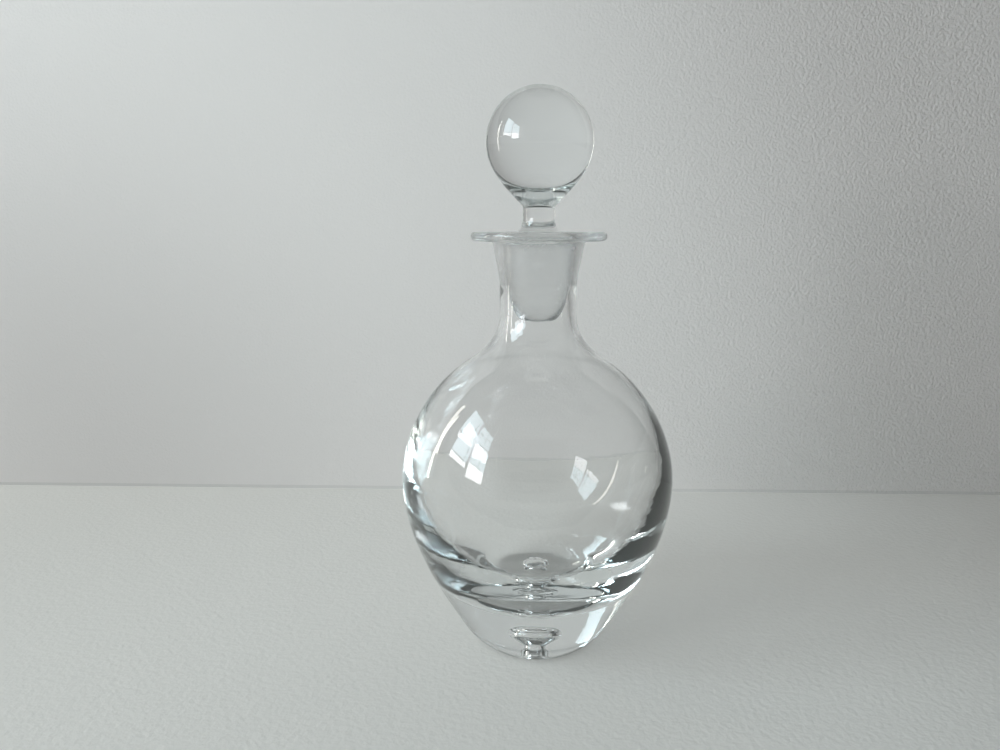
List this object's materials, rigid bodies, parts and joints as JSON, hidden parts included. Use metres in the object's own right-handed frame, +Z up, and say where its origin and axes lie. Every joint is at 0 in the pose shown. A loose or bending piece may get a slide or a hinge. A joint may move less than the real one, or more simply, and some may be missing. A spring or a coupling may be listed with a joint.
{
  "type": "whisky decanter",
  "caption": "Round-bowled clear glass decanter on a thick solid base with a trapped air bubble, and a lift-out ball stopper ground into its neck.",
  "frame": {"origin": "on the axis, at the level of the flat foot that it stands on", "axes": "+Z up along the axis of the bowl, neck and stopper; round about Z, so X and Y are any two directions across it"},
  "size_m": [0.125, 0.125, 0.2528],
  "materials": {
    "clear_glass": "clear, fire polished, with a ground seat in the neck and a ground flat foot",
    "stopper_glass": "clear polished ball and stem, ground matt plug"
  },
  "bodies": {
    "vessel": {"decanter_body": "clear_glass"},
    "stopper": {"stopper": "stopper_glass"}
  },
  "joints": [
    {"name": "stopper_lift", "type": "slide", "parent": "vessel", "child": "stopper", "axis": [0, 0, 1], "range_m": [0, 0.08]}
  ]
}
